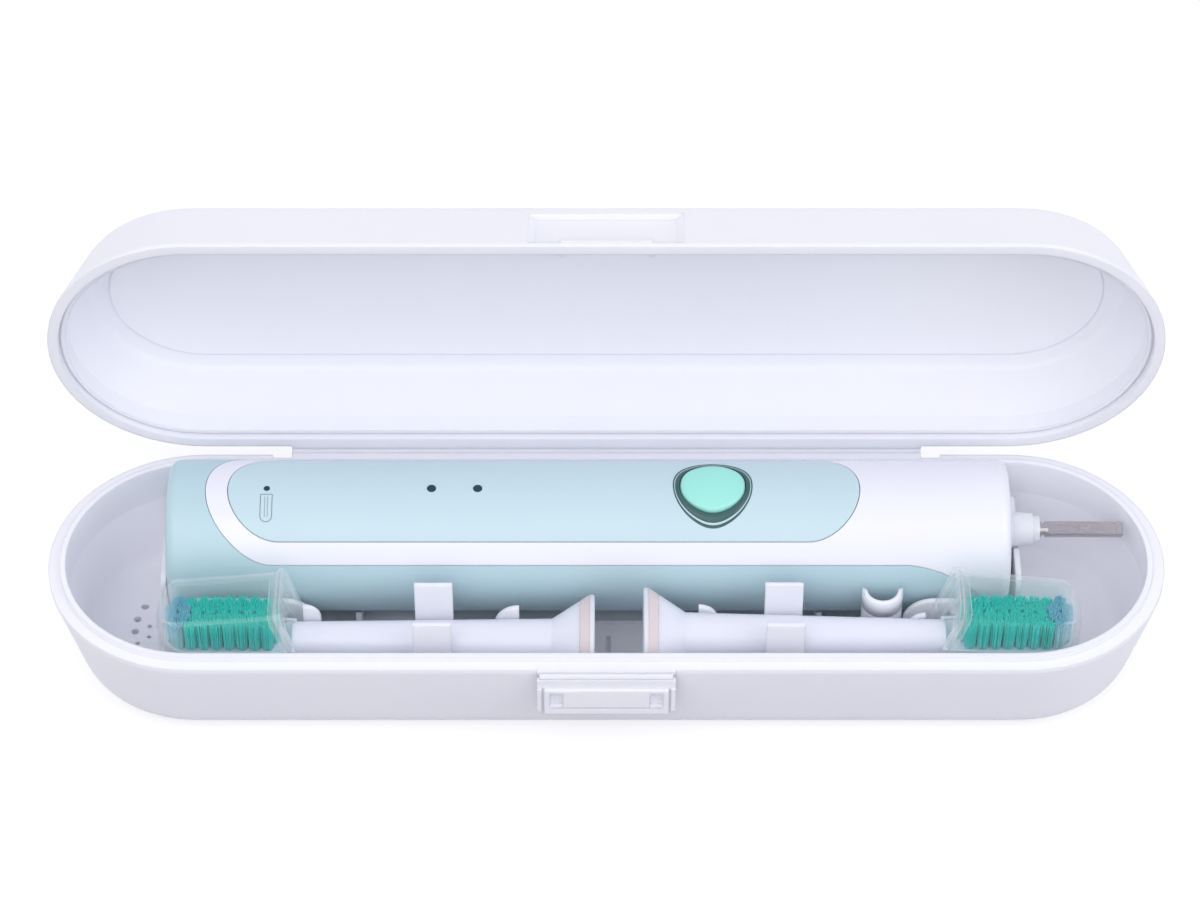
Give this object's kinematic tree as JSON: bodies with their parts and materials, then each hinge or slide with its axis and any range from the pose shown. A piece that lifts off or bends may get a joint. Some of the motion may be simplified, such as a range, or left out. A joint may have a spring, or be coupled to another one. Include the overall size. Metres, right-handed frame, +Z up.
{
  "type": "toothbrush travel case",
  "caption": "Hinged plastic travel case with a latch flap, holding a sonic toothbrush handle and capped brush heads.",
  "frame": {"origin": "centre of the flat underside of the case's base", "axes": "+X along the case, +Y towards the lid's hinge, +Z up; the lid stands open at 86 degrees and the latch flap hangs"},
  "size_m": [0.23, 0.0822, 0.0864],
  "materials": {
    "case_white": "satin",
    "case_web": "satin",
    "latch_white": "satin",
    "handle_teal": "satin",
    "handle_white": "gloss",
    "panel_blue": "gloss",
    "button_mint": "soft satin",
    "ring_green": "soft satin",
    "lens_dark": "gloss",
    "collar_clear": "frosted",
    "shaft_steel": "brushed",
    "tray_grey": "matte",
    "cell_green": "satin",
    "motor_steel": "brushed",
    "board_green": "satin",
    "coil_copper": "wound",
    "brush_white": "gloss",
    "band_beige": "matte",
    "insert_steel": "satin",
    "bristle_teal": "nylon",
    "bristle_blue": "nylon",
    "cap_clear": "clear plastic"
  },
  "bodies": {
    "base": {"base_shell": "case_white", "neck_clip_a": "case_white", "neck_clip_b": "case_white", "hinge_web": "case_web", "latch_web": "case_web"},
    "lid": {"lid_shell": "case_white"},
    "flap": {"latch_flap": "latch_white"},
    "handle": {"handle_back_shell": "handle_teal", "handle_front_shell": "handle_white", "control_panel": "panel_blue", "button_ring": "ring_green", "led_lens_1": "lens_dark", "led_lens_2": "lens_dark", "charge_lens": "lens_dark", "handle_bottom_cap": "handle_teal", "neck_collar": "collar_clear", "tray": "tray_grey", "battery_cell": "cell_green", "drive_motor": "motor_steel", "circuit_board": "board_green", "charge_coil": "coil_copper"},
    "button": {"power_button": "button_mint"},
    "shaft": {"drive_shaft": "shaft_steel"},
    "brush_a": {"brush_a_body": "brush_white", "brush_a_band": "band_beige", "brush_a_insert": "insert_steel", "brush_a_bristles": "bristle_teal", "brush_a_tip_bristles": "bristle_blue"},
    "cap_a": {"brush_a_cap": "cap_clear"},
    "brush_b": {"brush_b_body": "brush_white", "brush_b_band": "band_beige", "brush_b_insert": "insert_steel", "brush_b_bristles": "bristle_teal", "brush_b_tip_bristles": "bristle_blue"},
    "cap_b": {"brush_b_cap": "cap_clear"}
  },
  "joints": [
    {"name": "lid_hinge", "type": "hinge", "parent": "base", "child": "lid", "pos_m": [0, 0.0317, 0.0241], "axis": [-1, 0, 0], "range_deg": [-86, 84], "deforming": ["hinge_web"]},
    {"name": "flap_hinge", "type": "hinge", "parent": "base", "child": "flap", "pos_m": [0, -0.0319, 0.02355], "axis": [-1, 0, 0], "range_deg": [0, 184], "deforming": ["latch_web"]},
    {"name": "handle_lift", "type": "slide", "parent": "base", "child": "handle", "axis": [0, 0, 1], "range_m": [0, 0.07]},
    {"name": "button_press", "type": "slide", "parent": "handle", "child": "button", "axis": [0, -0.1045, 0.9945], "range_m": [-0.0008, 0], "stiffness_N_per_m": 1500},
    {"name": "shaft_rock", "type": "hinge", "parent": "handle", "child": "shaft", "pos_m": [0.09, 0.01059, 0.02204], "axis": [1, 0, 0], "range_deg": [-5, 5], "stiffness_Nm_per_rad": 0.05},
    {"name": "brush_a_lift", "type": "slide", "parent": "base", "child": "brush_a", "axis": [0, 0, 1], "range_m": [0, 0.055]},
    {"name": "cap_a_pull", "type": "slide", "parent": "brush_a", "child": "cap_a", "axis": [0, 0, 1], "range_m": [0, 0.03]},
    {"name": "brush_b_lift", "type": "slide", "parent": "base", "child": "brush_b", "axis": [0, 0, 1], "range_m": [0, 0.055]},
    {"name": "cap_b_pull", "type": "slide", "parent": "brush_b", "child": "cap_b", "axis": [0, 0, 1], "range_m": [0, 0.03]}
  ]
}
